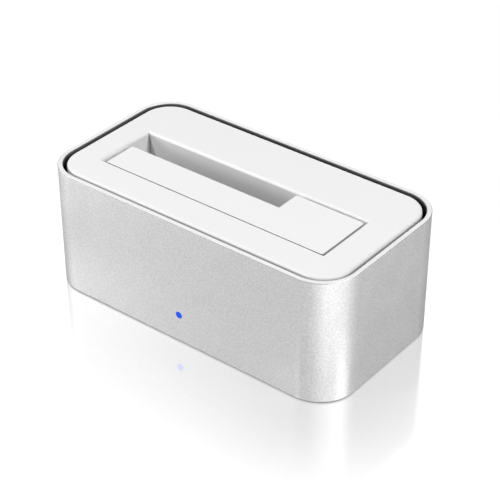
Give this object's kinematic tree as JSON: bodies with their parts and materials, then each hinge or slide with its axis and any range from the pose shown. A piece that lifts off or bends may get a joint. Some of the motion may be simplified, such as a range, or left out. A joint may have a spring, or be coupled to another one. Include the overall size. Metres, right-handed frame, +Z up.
{
  "type": "hard drive docking station",
  "caption": "Desktop dock with a rounded aluminium sleeve, a white top with a drive slot, a sprung flap over the slot's wide part and a blue front light.",
  "frame": {"origin": "middle of the footprint, on the surface that the feet stand on", "axes": "+X to the right along the long side, +Y to the back, +Z up; the front with the light faces -Y"},
  "size_m": [0.138, 0.073, 0.0526],
  "materials": {
    "sleeve_aluminium": "bead blasted and anodised",
    "white_plastic": "fine moulded satin",
    "flap_plastic": "fine moulded satin",
    "panel_plastic": "fine moulded satin",
    "button_plastic": "satin",
    "black_plastic": "matt",
    "base_plastic": "fine texture",
    "foot_rubber": "matt",
    "bright_steel": "drawn",
    "spring_steel": "drawn wire",
    "screw_steel": "zinc plated",
    "board_laminate": "solder mask",
    "connector_plastic": "moulded",
    "gold_contacts": "gold plated",
    "chip_epoxy": "moulded epoxy",
    "ferrite": "sintered",
    "capacitor_aluminium": "drawn can",
    "ceramic": "fired ceramic",
    "port_steel": "nickel plated",
    "port_blue": "moulded",
    "led_epoxy": "clear epoxy",
    "blue_lens": "polished"
  },
  "bodies": {
    "case": {"outer_sleeve": "sleeve_aluminium", "top_insert": "white_plastic", "drive_well": "white_plastic", "port_panel": "panel_plastic", "inner_frame": "black_plastic", "base_plate": "base_plastic", "rubber_feet": "foot_rubber", "hinge_pin": "bright_steel", "flap_springs": "spring_steel", "switch_spring": "spring_steel", "insert_screws": "screw_steel", "case_screws": "screw_steel", "board_screws": "screw_steel", "circuit_board": "board_laminate", "sata_socket": "connector_plastic", "sata_contacts": "gold_contacts", "bridge_chip": "chip_epoxy", "memory_chip": "chip_epoxy", "regulator_chip": "chip_epoxy", "crystal": "bright_steel", "power_inductor": "ferrite", "capacitors": "capacitor_aluminium", "chip_passives": "ceramic", "usb_shell": "port_steel", "usb_insert": "port_blue", "usb_contacts": "gold_contacts", "dc_jack": "connector_plastic", "dc_pin": "bright_steel", "switch_body": "chip_epoxy", "indicator_led": "led_epoxy", "light_pipe": "blue_lens"},
    "flap": {"drive_flap": "flap_plastic"},
    "button": {"power_button": "button_plastic"}
  },
  "joints": [
    {"name": "flap_hinge", "type": "hinge", "parent": "case", "child": "flap", "pos_m": [-0.0003, -0.024, 0.0483], "axis": [-1, 0, 0], "range_deg": [0, 90], "stiffness_Nm_per_rad": 0.003, "springref_deg": -40.11, "deforming": ["flap_springs"]},
    {"name": "button_press", "type": "slide", "parent": "case", "child": "button", "axis": [0, -1, 0], "range_m": [0, 0.002], "stiffness_N_per_m": 400, "springref_m": -0.002, "deforming": ["switch_spring"]}
  ]
}
